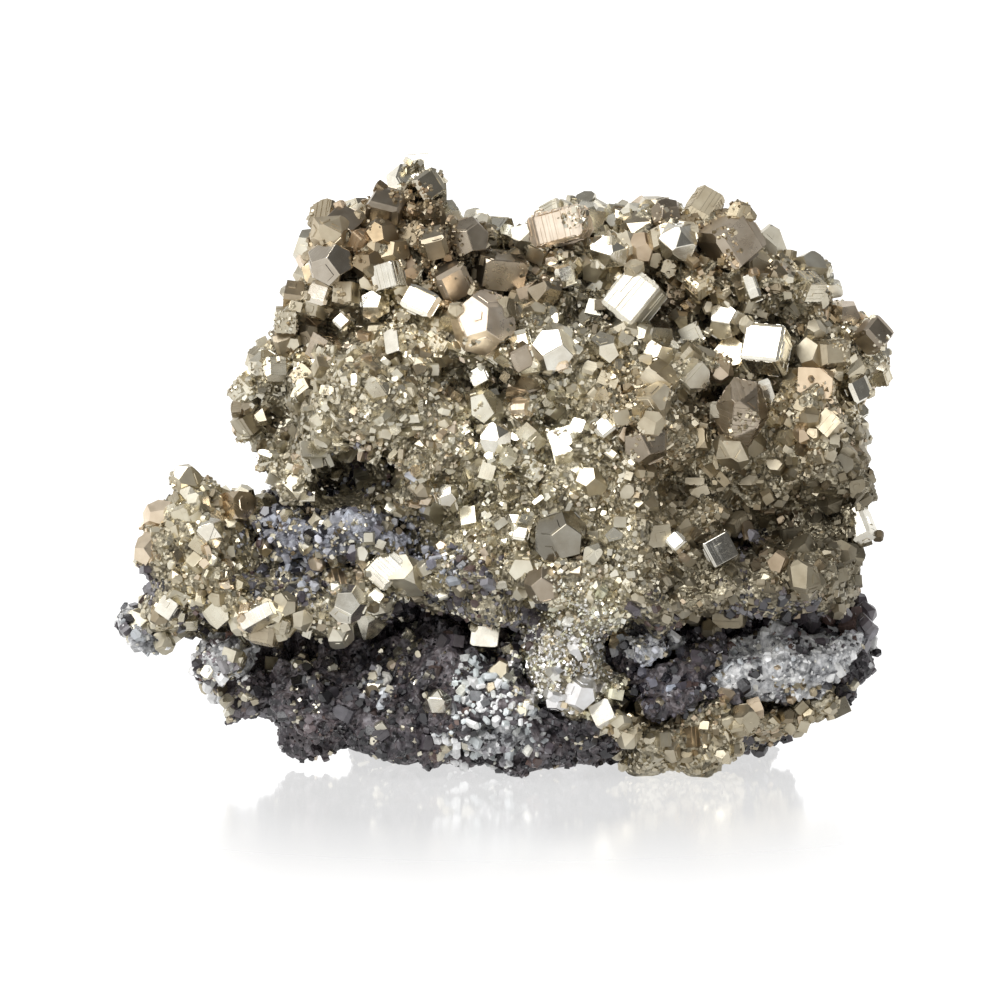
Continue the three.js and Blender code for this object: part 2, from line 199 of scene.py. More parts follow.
def grown_face(soup, polygon, size, tint, rng, along, terraces, stripes):
    """One crystal face with growth marks. size is the crystal's diameter, terraces how many there
    are on average, stripes how broad the striations are (0 for none), which run along `along`."""
    soup.add(polygon, tint, along)
    n = face_normal(polygon)
    middle = polygon.mean(axis=0)
    reach = norm(polygon - middle, axis=1).max()
    if reach < PLAIN_BELOW * size:
        return
    if stripes and along is not None and abs(np.dot(n, along)) < 0.9:
        step_way = np.cross(n, along)
        step_way /= norm(step_way)
        low, high = (polygon @ step_way).min(), (polygon @ step_way).max()
        at = low + 0.04 * size * rng.random()
        while at < high:
            width = size * rng.uniform(*STRIPE_WIDTHS) * stripes
            if rng.random() < PROUD_STRIPES:
                band = clipped(clipped(polygon, step_way, at + width), -step_way, -at)
                if len(band) > 2:
                    ends = along if rng.random() < 0.5 else -along
                    if rng.random() < SHORT_STRIPES:
                        length = np.ptp(band @ ends) * rng.uniform(*SHORT_LENGTHS)
                        band = clipped(band, ends, (band @ ends).min() + length)
                    if len(band) > 2:
                        soup.plate(band, size * rng.uniform(*STRIPE_HEIGHTS), tint, along)
            at += width
    for _ in range(rng.poisson(terraces)):
        corner = polygon[rng.integers(len(polygon))]
        centre = middle + (corner - middle) * rng.uniform(*TERRACE_OFFSETS)
        terrace = centre + (polygon - centre) * rng.uniform(*TERRACE_BREADTHS)
        soup.plate(terrace, size * rng.uniform(*TERRACE_HEIGHTS), tint, along, TERRACE_TAPER)


# ---- meshes
RING = 0.42  # radius of a polygon's circle, as a share of its UV cell


def atlas(sizes):
    """A UV cell for every polygon: corners of each are spread round a circle of its own."""
    count = len(sizes)
    across = math.ceil(math.sqrt(count))
    cell = np.stack([np.arange(count) % across, np.arange(count) // across], axis=1)
    owner = np.repeat(np.arange(count), sizes)
    starts = np.concatenate([[0], np.cumsum(sizes)[:-1]])
    turn = 2 * np.pi * (np.arange(len(owner)) - starts[owner]) / sizes[owner]
    ring = 0.5 + RING * np.stack([np.cos(turn), np.sin(turn)], axis=1)
    return (cell[owner] + ring) / across


def build_mesh(name, points, sizes, tints, grain):
    """A mesh of loose polygons, in metres, with its attributes and maps."""
    mesh = bpy.data.meshes.new(name)
    mesh.vertices.add(len(points))
    mesh.vertices.foreach_set("co", points.astype(np.float32).ravel())
    mesh.loops.add(len(points))
    mesh.loops.foreach_set("vertex_index", np.arange(len(points), dtype=np.int32))
    mesh.polygons.add(len(sizes))
    starts = np.concatenate([[0], np.cumsum(sizes)[:-1]]).astype(np.int32)
    mesh.polygons.foreach_set("loop_start", starts)
    mesh.update(calc_edges=True)
    tint = mesh.attributes.new("tint", "FLOAT_COLOR", "FACE")
    tint.data.foreach_set("color", tints.astype(np.float32).ravel())
    baked = mesh.uv_layers.new(name="OFBake")
    baked.data.foreach_set("uv", atlas(sizes).astype(np.float32).ravel())
    lines = mesh.uv_layers.new(name="grain")
    lines.data.foreach_set("uv", grain.astype(np.float32).ravel())
    mesh.uv_layers.active = baked
    return mesh


def placed(name, data):
    """A new object in the scene."""
    obj = bpy.data.objects.new(name, data)
    scene.collection.objects.link(obj)
    return obj


def rows(items, key, width=3, kind=np.float32):
    """One property of all of a mesh's items."""
    values = np.empty(len(items) * width, kind)
    items.foreach_get(key, values)
    return values.reshape(-1, width)


def piece(name, mesh, material, replaced=()):
    """A visible piece of the specimen that rides on its body."""
    mesh.materials.clear()
    mesh.materials.append(material)
    obj = placed(name, mesh)
    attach(obj, "root")
    if replaced:
        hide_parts(*replaced)
    return obj


# ---- materials
def adder(tree):
    """A function that adds a node to this tree: its kind, its inputs (values, or sockets to link)
    and its settings."""

    def add(kind, inputs=None, **settings):
        node = tree.nodes.new("ShaderNode" + kind)
        for key, value in settings.items():
            setattr(node, key, value)
        for key, value in (inputs or {}).items():
            socket = node.inputs[key]
            if isinstance(value, bpy.types.NodeSocket):
                tree.links.new(value, socket)
            else:
                socket.default_value = value
        return node

    return add


def node_tree(name):
    """A new material, its shader and the function that adds nodes to it."""
    material = bpy.data.materials.new(name)
    material.use_nodes = True
    return material, material.node_tree.nodes["Principled BSDF"], adder(material.node_tree)


def wired(material, shader, **sockets):
    """The material, its shader's inputs linked to the sockets; _ in a name is for a space."""
    for name, socket in sockets.items():
        material.node_tree.links.new(socket, shader.inputs[name.replace("_", " ")])
    return material


def multiplied(add, a, b):
    """One colour times another."""
    first, second, result = 6, 7, 2  # the colours among the mix node's sockets
    node = add("Mix", {0: 1.0, first: a, second: b}, data_type="RGBA", blend_type="MULTIPLY",
               clamp_result=False)
    return node.outputs[result]


def ramped(add, factor, stops):
    """The colour of a ramp with stops [(position, RGB)]."""
    ramp = add("ValToRGB", {"Fac": factor})
    elements = ramp.color_ramp.elements
    while len(elements) < len(stops):
        elements.new(0.5)
    for element, (at, colour) in zip(elements, stops):
        element.position, element.color = at, (*colour, 1)
    return ramp.outputs["Color"]


def blotches(add, place, scale, detail, roughness=0.5):
    """Soft noise in space."""
    inputs = {"Vector": place, "Scale": scale, "Detail": detail, "Roughness": roughness}
    return add("TexNoise", inputs).outputs["Fac"]


def mapped(add, value, from_range, to_range, **settings):
    """A value taken from one range to another."""
    ends = {"Value": value, "From Min": from_range[0], "From Max": from_range[1],
            "To Min": to_range[0], "To Max": to_range[1]}
    return add("MapRange", ends, **settings).outputs["Result"]


def total(add, a, b, operation="ADD", **settings):
    """The result of a sum or another operation."""
    return add("Math", {0: a, 1: b}, operation=operation, **settings).outputs["Value"]


def grey(add, value):
    """A colour with all channels the same."""
    return add("CombineColor", {"Red": value, "Green": value, "Blue": value}).outputs["Color"]


def bumped(add, strength, depth, height, under=None):
    """A normal with bumps of this depth in metres, over the bumps already there."""
    inputs = {"Strength": strength, "Distance": depth, "Height": height}
    if under is not None:
        inputs["Normal"] = under
    return add("Bump", inputs).outputs["Normal"]


def metal_material(name, striation, pitting, dull, lines=3600.0, shown_from=0.42):
    """Pyrite: tint and roughness from each face, straight striations that come and go, fine pits.
    lines is how many striations there are to a metre, roughly."""
    material, shader, add = node_tree(name)
    place = add("TexCoord").outputs["Object"]
    tint = add("Attribute", attribute_name="tint")
    patch = blotches(add, place, 420.0, 3.0)
    bloom = blotches(add, place, 1100.0, 4.0, 0.6)
    warmth = ramped(add, patch, [(0.32, (0.83, 0.8, 0.765)), (0.7, (1.05, 1.055, 1.07))])
    colour = multiplied(add, tint.outputs["Color"], warmth)
    shader.inputs["Metallic"].default_value = 1.0

    uneven = mapped(add, bloom, (0.35, 0.75), (0.0, 0.14))
    rough = total(add, total(add, tint.outputs["Alpha"], uneven), dull, use_clamp=True)

    grain = add("SeparateXYZ", {"Vector": add("UVMap", uv_map="grain").outputs["UV"]})
    across = total(add, grain.outputs["Y"], lines, "MULTIPLY")
    ridges = add("TexNoise", {"W": across, "Scale": 1.0, "Detail": 2.0}, noise_dimensions="1D")
    shown = mapped(add, patch, (shown_from, shown_from + 0.2), (0.0, 1.0))
    height = total(add, ridges.outputs["Fac"], shown, "MULTIPLY")
    pits = bumped(add, pitting, 0.05 * MM, bloom)
    lined = bumped(add, striation, 0.04 * MM, height, pits)
    return wired(material, shader, Base_Color=colour, Roughness=rough, Normal=lined)


def stone_material(name, stops, scales, roughness, bump, glint=0.5):
    """Rock and quartz: blotches of several colours at two scales, rough with glossy spots. scales
    are those of the broad and the fine blotches and of the grains."""
    material, shader, add = node_tree(name)
    place = add("TexCoord").outputs["Object"]
    broad = blotches(add, place, scales[0], 5.0, 0.6)
    fine = blotches(add, place, scales[1], 6.0, 0.65)
    specks = add("TexVoronoi", {"Vector": place, "Scale": scales[2], "Randomness": 1.0})
    blend = total(add, total(add, broad, fine), 0.5, "MULTIPLY")
    cell = add("SeparateColor", {"Color": specks.outputs["Color"]})
    spot = mapped(add, cell.outputs["Red"], (0.0, 1.0), (0.6, 1.35))
    colour = multiplied(add, ramped(add, blend, stops), grey(add, spot))
    rough = mapped(add, cell.outputs["Green"], (0.0, 1.0), roughness)
    shader.inputs["Specular IOR Level"].default_value = glint
    cells = bumped(add, bump, 0.3 * MM, specks.outputs["Distance"])
    grains = bumped(add, bump, 0.2 * MM, fine, cells)
    return wired(material, shader, Base_Color=colour, Roughness=rough, Normal=grains)


def grain_material(name, roughness, glint):
    """Loose-looking grains on rock and quartz: each has its own tint and shine."""
    material, shader, add = node_tree(name)
    place = add("TexCoord").outputs["Object"]
    tint = add("Attribute", attribute_name="tint")
    patch = blotches(add, place, 900.0, 4.0)
    shade = mapped(add, patch, (0.3, 0.7), (0.7, 1.25))
    colour = multiplied(add, tint.outputs["Color"], grey(add, shade))
    rough = total(add, tint.outputs["Alpha"], roughness, use_clamp=True)
    shader.inputs["Specular IOR Level"].default_value = glint
    pits = bumped(add, 0.3, 0.1 * MM, patch)
    return wired(material, shader, Base_Color=colour, Roughness=rough, Normal=pits)


CRYSTAL_METAL = metal_material("pyrite_crystal", striation=0.35, pitting=0.12, dull=0.0)
STRIATED_METAL = metal_material("pyrite_striated", striation=0.9, pitting=0.12, dull=0.05,
                                lines=1900.0, shown_from=0.1)
DRUSE_METAL = metal_material("pyrite_druse", striation=0.15, pitting=0.12, dull=0.02)
CRUST = stone_material(
    "pyrite_crust",
    [(0.38, (0.1, 0.085, 0.06)), (0.5, (0.34, 0.3, 0.21)), (0.62, (0.6, 0.55, 0.43))],
    scales=(300.0, 1500.0, 1800.0), roughness=(0.25, 0.5), bump=0.8, glint=1.0,
)
CRUST.node_tree.nodes["Principled BSDF"].inputs["Metallic"].default_value = 0.85
ROCK = stone_material(
    "host_rock",
    [(0.4, (0.01, 0.009, 0.011)), (0.47, (0.05, 0.043, 0.05)), (0.53, (0.1, 0.08, 0.084)),
     (0.62, (0.25, 0.23, 0.245))],
    scales=(170.0, 700.0, 1500.0), roughness=(0.2, 0.6), bump=0.9, glint=0.7,
)
ROCK_GRAIN = grain_material("dark_grains", roughness=0.02, glint=0.9)
QUARTZ = stone_material(
    "quartz",
    [(0.4, (0.07, 0.07, 0.075)), (0.46, (0.32, 0.325, 0.335)), (0.55, (0.62, 0.62, 0.62)),
     (0.66, (0.82, 0.81, 0.79))],
    scales=(260.0, 1100.0, 1200.0), roughness=(0.15, 0.5), bump=0.6, glint=0.6,
)
DUSKY_QUARTZ = stone_material(
    "dusky_quartz",
    [(0.4, (0.03, 0.03, 0.035)), (0.46, (0.14, 0.14, 0.165)), (0.55, (0.3, 0.31, 0.35)),
     (0.66, (0.55, 0.56, 0.6))],
    scales=(260.0, 1100.0, 1200.0), roughness=(0.2, 0.6), bump=0.6, glint=0.6,
)
QUARTZ_GRAIN = grain_material("quartz_grains", roughness=0.05, glint=0.6)

# Hollows (and, with a negative depth, clumps) in the front of the pyrite: across, up, half width,
# half height and depth in mm.
HOLLOWS = [
    (-3, 49, 8.5, 2.6, 6.0), (-1.5, 57, 3.4, 4, 5.0), (19.5, 59, 3.4, 6.5, 5.5),
    (26, 47, 6, 3.4, 5.2), (-19, 37.5, 6, 3.4, 6.0), (38, 31.5, 6, 4, 5.2), (30, 28.5, 5, 4, 4.6),
    (-28, 44, 4, 6.5, 4.6), (-2.5, 64, 5, 4, 5.2), (10, 58, 4, 5.4, 4.6),
    (4, 21, 5, 2.6, 3.6), (22, 25, 6, 2.6, 3.6), (-14, 29, 5, 3, 4.2), (34, 56, 4, 5, 4.4),
    (6, 44, 4, 2.6, 3.0), (-8, 33, 3.4, 4, 3.0), (22, 35, 3.4, 4, 3.2), (-22, 56, 5, 2.6, 3.6),
    (18, 46, 5.5, 5.5, -3.4), (-30, 36.5, 4.4, 4.4, -2.0), (3, 33, 5, 4, -2.4),
    (31, 38, 5.5, 4.4, -2.4), (-9, 38, 5, 4.4, -2.6), (-14, 46, 6, 3.6, -2.4),
    (8, 15, 6, 8, -2.4), (10, 27, 4.4, 3.4, -2.2), (-5, 27, 4.4, 3.4, -2.0),
    (16, 36, 3.4, 3.4, -2.2), (0, 41, 3.6, 3, -2.0), (38, 24, 5, 3.4, -2.0), (-36, 28, 5, 4, -1.6),
]


def hollow_depth(points):
    """How deep the hollows are at these points, in mm; negative on the clumps."""
    at = across_up(points)
    depth = np.zeros(len(points))
    for across, up, wide, high, deepest in HOLLOWS:
        far = ((at[:, 0] - across) / wide) ** 2 + ((at[:, 1] - up) / high) ** 2
        depth += deepest * np.clip(1 - far / 1.6, 0, 1) ** 1.5
    return depth * (points[:, 1] < TINTED_TO)


def hollowed(co, normals):
    """The points pushed in at the hollows and out at the clumps."""
    facing = np.clip(-normals[:, 1] * 2.5, 0, 1)
    return co + np.outer(hollow_depth(co) * MM * facing, [0, 1, 0])


# Tints of crystal faces: pale brass, khaki, brown tarnish, and a warmer rosy one.
BRASS = [(0.8, 0.77, 0.66), (0.72, 0.68, 0.56), (0.62, 0.57, 0.45), (0.46, 0.4, 0.3),
         (0.84, 0.73, 0.59)]
BRASS_SHARES = [0.36, 0.3, 0.18, 0.1, 0.06]

# Where the tints of the front are multiplied: across, up, reach in mm and the factor. Part of it is
# the pyrite's own tarnish and paleness, part painted shade and painted light; the tongue under the
# lip (8, 15) is lightened against its shadow.
TARNISH_AND_PAINTED_LIGHT = [
    (-12, 69, 9, (0.6, 0.51, 0.4)), (-22, 64, 5, (0.66, 0.57, 0.45)),
    (-3, 60, 5, (0.66, 0.57, 0.45)), (29, 67, 6, (0.7, 0.62, 0.5)),
    (30, 34, 11, (0.62, 0.57, 0.49)), (36, 48, 8, (0.84, 0.78, 0.68)),
    (40, 31, 10, (0.3, 0.27, 0.22)), (28, 23, 9, (0.42, 0.38, 0.32)),
    (-6, 67, 5, (0.42, 0.36, 0.28)), (24, 38, 8, (0.72, 0.65, 0.55)),
    (8, 15, 7, (1.9, 1.9, 1.85)), (0, 41, 13, (1.14, 1.14, 1.12)),
    (-22, 46, 8, (0.92, 0.9, 0.86)), (-38, 26, 10, (0.98, 0.96, 0.9)),
    (15, 48, 5, (0.86, 0.78, 0.66)), (20, 63, 6, (0.84, 0.76, 0.64)),
    (-12, 56, 7, (0.96, 0.92, 0.84)), (24, 6, 9, (0.74, 0.69, 0.6)),
    (38, 9, 6, (0.74, 0.69, 0.6)),
]


def shade_at(points, shades):
    """What the tints at these points are multiplied by: near a place its own shade, and plain
    away from all places."""
    colours = np.array([place[3] for place in shades])
    weight = np.exp(-1.6 * reaches_to(points, shades) ** 2)
    on_front = (points[:, 1] < TINTED_TO)[:, None]
    blend = (weight @ colours + 0.15) / (weight.sum(axis=1) + 0.15)[:, None]
    return np.where(on_front, blend, 1.0)


def brass_tints(points, rng):
    """A tint for each place: the shades lie in drifts, with single crystals that differ; painted
    shade darkens the hollows.
    """
    drift = noise_at(points / (7 * MM) + 5.0)
    pick = np.clip(rng.random(len(points)) - 0.45 * drift, 0, 0.999)
    colours = np.array(BRASS)[np.searchsorted(np.cumsum(BRASS_SHARES), pick)]
    # Painted shade: the tints get darker the deeper the hollow is.
    painted_hollow_shade = 1 - 0.11 * np.clip(hollow_depth(points), 0, 5.5)
    own = painted_hollow_shade * rng.uniform(0.88, 1.06, len(points))
    shade = shade_at(points, TARNISH_AND_PAINTED_LIGHT)
    dull = 0.26 * np.clip(1 - shade.mean(axis=1), 0, 1)
    colours = np.minimum(colours * shade * own[:, None], 0.92)
    return np.column_stack([colours, rng.uniform(0.1, 0.34, len(points)) + dull])


# ---- the masses
def roughened(name, node, voxel, swells, material, seed):
    """A remeshed copy of a CAD solid, its surface moved by noise. swells is [(breadth, height)]
    in mm; a negative height makes sharp cells instead of soft swells."""
    obj = placed(name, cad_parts[node].data.copy())
    remesh = obj.modifiers.new("voxels", "REMESH")
    remesh.mode, remesh.voxel_size = "VOXEL", voxel * MM
    depsgraph = bpy.context.evaluated_depsgraph_get()
    mesh = bpy.data.meshes.new_from_object(obj.evaluated_get(depsgraph))
    bpy.data.objects.remove(obj)
    co, normals = rows(mesh.vertices, "co"), rows(mesh.vertex_normals, "vector")
    moves = np.zeros(len(co))
    for k, (breadth, height) in enumerate(swells):
        at = co / (breadth * MM) + np.array([seed, 3.7 * k, 1.3 * seed])
        if height > 0:
            moves += height * MM * noise_at(at)
        else:
            moves += height * MM * np.array([noise.voronoi(Vector(p))[0][0] - 0.35 for p in at])
    above_table = np.clip(0.4 + co[:, 2] / (2.0 * MM), 0, 1)
    co = co + normals * (moves * above_table)[:, None]
    if node == "pyrite_mass":
        co = hollowed(co, normals)
    co[:, 2] = np.maximum(co[:, 2], 0.0)
    mesh.vertices.foreach_set("co", co.ravel())
    mesh.polygons.foreach_set("use_smooth", np.zeros(len(mesh.polygons), bool))
    mesh.update()
    return piece(name, mesh, material, [node])


class Surface:
    """Points to grow crystals on, from one or more pieces."""

    def __init__(self, objects):
        corners = []
        for obj in objects:
            obj.data.calc_loop_triangles()
            triangles = rows(obj.data.loop_triangles, "vertices", kind=np.int32)
            corners.append(rows(obj.data.vertices, "co")[triangles])
        self.corners = np.concatenate(corners)
        a, b, c = self.corners[:, 0], self.corners[:, 1], self.corners[:, 2]
        cross = np.cross(b - a, c - a)
        self.area = norm(cross, axis=1) / 2
        self.normal = cross / np.maximum(norm(cross, axis=1), 1e-15)[:, None]

    def sample(self, count, rng):
        """Points spread evenly over the surface, and its normal at each."""
        chosen = rng.choice(len(self.area), count, p=self.area / self.area.sum())
        r = np.sqrt(rng.random(count))[:, None]
        s = rng.random(count)[:, None]
        a, b, c = (self.corners[chosen, k] for k in range(3))
        return (1 - r) * a + r * (1 - s) * b + r * s * c, self.normal[chosen]


def tree_of(objects):
    """A ray-casting tree of several pieces."""
    points, faces, base = [], [], 0
    for obj in objects:
        mesh = obj.data
        points += [v.co.copy() for v in mesh.vertices]
        faces += [[base + i for i in p.vertices] for p in mesh.polygons]
        base = len(points)
    return BVHTree.FromPolygons(points, faces)


# ---- crystal templates
class Template:
    """A crystal of unit diameter as arrays, to be set down many times."""

    def __init__(self, rng, forms, jitter, stretch=0.15, terraces=0.0, stripes=0.0):
        normals, distances = planes_of(forms, jitter, rng)
        corners, faces = polyhedron(normals, distances)
        corners = corners * rng.uniform(1 - stretch, 1 + stretch, 3)
        corners /= 2 * norm(corners, axis=1).max()
        soup = Soup()
        tone = rng.uniform(0.0, 0.05, len(faces))
        for face, extra in zip(faces, tone):
            polygon = corners[face]
            tint = (1 - extra, 1 - extra, 1 - 1.2 * extra, extra)
            n = np.abs(face_normal(polygon))
            along = np.roll(np.eye(3)[np.argmax(n)], 1)
            grown_face(soup, polygon, 1.0, tint, rng, along, terraces, stripes)
        self.points, self.sizes, self.tints, self.grain = soup.arrays()


def spun(rng, normals, tilt):
    """Rotation matrices whose +Z leans away from each normal by up to about `tilt`, any spin."""
    count = len(normals)
    axis = normals + rng.normal(0, tilt, (count, 3))
    axis /= norm(axis, axis=1)[:, None]
    side = np.cross(axis, rng.normal(0, 1, (count, 3)))
    side /= norm(side, axis=1)[:, None]
    return np.stack([side, np.cross(axis, side), axis], axis=2)


def set_down(templates, positions, rotations, diameters, tints, rng):
    """Copies of the templates, as the arrays of one mesh."""
    kind = rng.integers(len(templates), size=len(positions))
    parts = []
    for k, template in enumerate(templates):
        here = np.nonzero(kind == k)[0]
        if not len(here):
            continue
        points = template.points[None] * diameters[here, None, None]
        points = np.einsum("mij,mnj->mni", rotations[here], points) + positions[here, None]
        tint = template.tints[None] * np.ones((len(here), 1, 1))
        tint[..., :3] *= tints[here, None, :3]
        tint[..., 3] += tints[here, None, 3]
        grain = template.grain[None] * diameters[here, None, None]
        grain = grain + rng.random((len(here), 1, 2))
        parts.append((points.reshape(-1, 3), np.tile(template.sizes, len(here)),
                      tint.reshape(-1, 4), grain.reshape(-1, 2)))
    return [np.concatenate(column) for column in zip(*parts)]


# ---- where what grows
# Patches of the front: across, up, reach in mm, and how coarse the pyrite is there, 0 to 1.
PATCHES = [
    (-11, 75, 5, 0.0), (-10, 73, 4, 0.0), (-13, 64, 11, 1.0), (-24, 60, 6, 1.0), (-4, 58, 8, 1.0),
    (6, 67, 8, 1.0), (15, 60, 8, 0.8), (24, 63, 10, 1.0), (31, 54, 7, 0.8), (43, 54, 8, 0.55),
    (38, 44, 8, 0.75), (29, 45, 6, 0.75),
    (39, 28, 9, 0.3), (-29, 50, 8, 0.7), (-14, 47, 12, 0.3), (2, 48, 9, 0.5), (12, 38, 12, 0.3),
    (0, 38, 8, 0.3), (14, 27, 16, 0.25), (5, 27, 6, 0.6), (-26, 37, 7, 0.6), (-38, 27, 9, 0.5),
    (-20, 22, 9, 0.75), (-43, 20, 5, 0.7), (8, 16, 8, 0.0), (13, 8, 4, 0.5), (24, 6, 9, 0.3),
    (37, 9, 6, 0.35),
]
# Where the dark mineral comes up through the pyrite: across, up and reach in mm.
DARK_SPOTS = [(0, 20, 4), (-4, 23, 4), (-8, 19, 3.5), (-12, 19, 4.5), (30, 20, 4.5),
              (-26, 27, 6.5), (-18, 37.5, 3.5), (-12, 28, 4), (-21, 33, 4), (36, 19, 4),
              (18, 18, 3.5), (-44, 24, 2.5), (-38, 17, 4), (23, 9.5, 2.4), (35, 10, 2.0),
              (31, 4, 1.6), (30, 29.5, 2.0)]
# Where quartz grains lie on the pyrite.
PALE_SPOTS = [(-31, 30, 4), (-12, 30.5, 4.5), (-24, 26, 4), (-18, 33.5, 4), (-7, 26, 2.5)]
# Where the pyrite is as fine as sugar.
FINE_SPOTS = [(8, 15.5, 7), (9, 20, 4), (-11, 74, 3.5)]
# Where the crystals are long laths.
LATH_SPOTS = [(-20, 45, 9), (-24, 40, 7), (27, 33, 6), (2, 33, 4), (-37, 30, 4)]


def coarseness(points):
    """How coarse the pyrite is at these points."""
    weight = np.exp(-2.0 * reaches_to(points, PATCHES) ** 2) + 1e-9
    coarse = (weight * np.array(PATCHES)[:, 3]).sum(axis=1) / weight.sum(axis=1)
    return coarse * np.clip(1.2 - 0.25 * hollow_depth(points), 0.1, 1)


def within(points, spots):
    """1 inside a spot on the front, 0 outside, with a ragged edge."""
    ragged = noise_at(points / (2.2 * MM))
    far = reaches_to(points, spots).min(axis=1)
    return np.clip((1.05 - far - 0.9 * ragged) * 5, 0, 1) * (points[:, 1] < SPOTTED_TO)


def everywhere(points):
    """1 at every point."""
    return np.ones(len(points))


def drifts(points):
    """From 0 to 1 and about a half on average, in drifts some 9 mm broad."""
    return np.clip(0.5 + noise_at(points / (9 * MM)), 0, 1)


def spaced(candidates, radii, keep, taken, overlap):
    """Indices of the candidates that stand clear of all taken ones and of each other."""
    tree = None
    if taken:
        tree = kdtree.KDTree(len(taken))
        for i, (p, r) in enumerate(taken):
            tree.insert(p, i)
        tree.balance()
        widest = max(r for _, r in taken)
    grid, chosen = {}, []
    pitch = 2 * overlap * max(radii.max(), 1e-6)
    for i in np.nonzero(keep)[0]:
        p, r = candidates[i], radii[i]
        if tree and any(
            d < 0.74 * taken[j][1] + 0.15 * r
            for _, j, d in tree.find_range(p, 0.74 * widest + 0.15 * r)
        ):
            continue
        cell = tuple((p // pitch).astype(int))
        near = (grid.get((cell[0] + a, cell[1] + b, cell[2] + c), ())
                for a in (-1, 0, 1) for b in (-1, 0, 1) for c in (-1, 0, 1))
        x, y, z = p
        if any((x - q[0]) ** 2 + (y - q[1]) ** 2 + (z - q[2]) ** 2 < (overlap * (r + t)) ** 2
               for group in near for q, t in group):
            continue
        grid.setdefault(cell, []).append(((x, y, z), r))
        chosen.append(i)
    taken += [(Vector(candidates[i]), radii[i]) for i in chosen]
    return np.array(chosen, int)


def open_to_air(points, normals, tree, clearance):
    """True where nothing lies close in front of the surface."""
    free = np.ones(len(points), bool)
    for i, (p, n) in enumerate(zip(points, normals)):
        n = Vector(n)
        hit = tree.ray_cast(Vector(p) + n * 0.12 * MM, n, clearance * MM)
        free[i] = hit[0] is None
    return free


# ---- build the masses
MASS_SWELLS = [(11, 2.0), (6.5, -3.8), (3.4, -1.8), (1.8, 0.6)]
ROCK_SWELLS = [(9, 3.4), (5.0, -4.6), (2.4, -2.4), (1.1, -0.8)]
SEAM_SWELLS = [(6, 1.6), (3.2, -1.8), (1.6, -0.9), (0.7, -0.4)]


def nodes_called(start):
    """The CAD's nodes whose names start like this."""
    return sorted(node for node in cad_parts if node.startswith(start))


mass = roughened("pyrite_ground", "pyrite_mass", 0.6, MASS_SWELLS, CRUST, 1.0)
rock = roughened("rock_ground", "host_rock", 0.5, ROCK_SWELLS, ROCK, 2.0)
seams = []
for k, node in enumerate(nodes_called("quartz")):
    stone = DUSKY_QUARTZ if node == "quartz_patch_upper_left" else QUARTZ
    name = node.replace("quartz", "seam")
    seams.append(roughened(name, node, 0.4, SEAM_SWELLS, stone, 3.0 + k))


# ---- the single crystals
WELD = 0.02 * MM
FLAT = math.radians(4)  # faces that meet at less than this are one
EDGE_WEAR = 0.05 * MM


def hull_faces(node):
    """The flat faces of a CAD crystal as polygons, with any cut by a neighbour closed again."""
    work = bmesh.new()
    work.from_mesh(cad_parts[node].data)
    bmesh.ops.remove_doubles(work, verts=work.verts, dist=WELD)
    made = bmesh.ops.convex_hull(work, input=work.verts)
    inner = set(made["geom_interior"] + made["geom_unused"])
    loose = [element for element in inner if isinstance(element, bmesh.types.BMVert)]
    bmesh.ops.delete(work, geom=loose, context="VERTS")
    bmesh.ops.dissolve_limit(work, angle_limit=FLAT, verts=work.verts, edges=work.edges)
    bmesh.ops.recalc_face_normals(work, faces=work.faces)
    bmesh.ops.bevel(work, geom=work.edges[:], offset=EDGE_WEAR, segments=1, affect="EDGES",
                    clamp_overlap=True)
    bmesh.ops.recalc_face_normals(work, faces=work.faces)
    polygons = [np.array([v.co for v in f.verts]) for f in work.faces]
    work.free()
    return polygons


# How broad the striations are, by the crystal's own name.
STRIATED = {"striated_centre": 1.0, "striated_right": 1.0, "hooded": 0.5, "summit_block": 0.6,
            "saddle_block": 0.5, "ledge_plate": 0.7}
TARNISHED = {"summit_left_1", "summit_left_2", "summit_mid_1", "summit_mid_2", "summit_mid_3",
             "summit_mid_4", "summit_mid_5", "summit_right_2", "summit_right_3", "knob_right",
             "hooded", "tawny_lump", "shelf_mid_1", "smooth_brown"}
ROSY = {"big_pentagon", "saddle_block"}
TARNISHED_SHADE, ROSY_SHADE = (0.42, 0.36, 0.28), (0.86, 0.75, 0.61)
PLAIN_SHADE = (0.8, 0.77, 0.67)
OWN_SHADE = {"smooth_grey": (0.3, 0.28, 0.23), "summit_left_3": (0.5, 0.45, 0.37),
             "summit_peak": (0.6, 0.55, 0.44), "summit_left_4": (0.62, 0.57, 0.48),
             "flat_grey_right": (0.52, 0.5, 0.44), "summit_mid_1": (0.32, 0.28, 0.21),
             "summit_mid_2": (0.32, 0.28, 0.21), "summit_mid_3": (0.36, 0.31, 0.24),
             "summit_left_1": (0.36, 0.31, 0.24)}
# How much rougher than the others some are.
SATIN = {"striated_centre": 0.26, "saddle_block": 0.2, "big_pentagon": 0.2}
TARNISHED_SATIN = 0.17

CUBIC = [(CUBE, 0.5)]
TRUNCATED = [(CUBE, 0.5), (OCTAHEDRON, 0.78)]
BEVELLED = [(CUBE, 0.5), (PYRITOHEDRON, 0.585)]
PENTAGONAL = [(PYRITOHEDRON, 0.5)]
BLUNT = [(PYRITOHEDRON, 0.5), (OCTAHEDRON, 0.54)]
LESS_TRUNCATED = [(CUBE, 0.5), (OCTAHEDRON, 0.8)]
CUT_PENTAGONAL = [(PYRITOHEDRON, 0.5), (CUBE, 0.56)]

satellite_rng = np.random.default_rng(11)
SATELLITES = [Template(satellite_rng, forms, 0.16, 0.18, 0.8, 0.8)
              for forms in [LESS_TRUNCATED, BEVELLED, CUT_PENTAGONAL, BLUNT] * 3]


def shade_of(own):
    """The tint of a single crystal."""
    if own in OWN_SHADE:
        return OWN_SHADE[own]
    if own in TARNISHED:
        return TARNISHED_SHADE
    return ROSY_SHADE if own in ROSY else PLAIN_SHADE


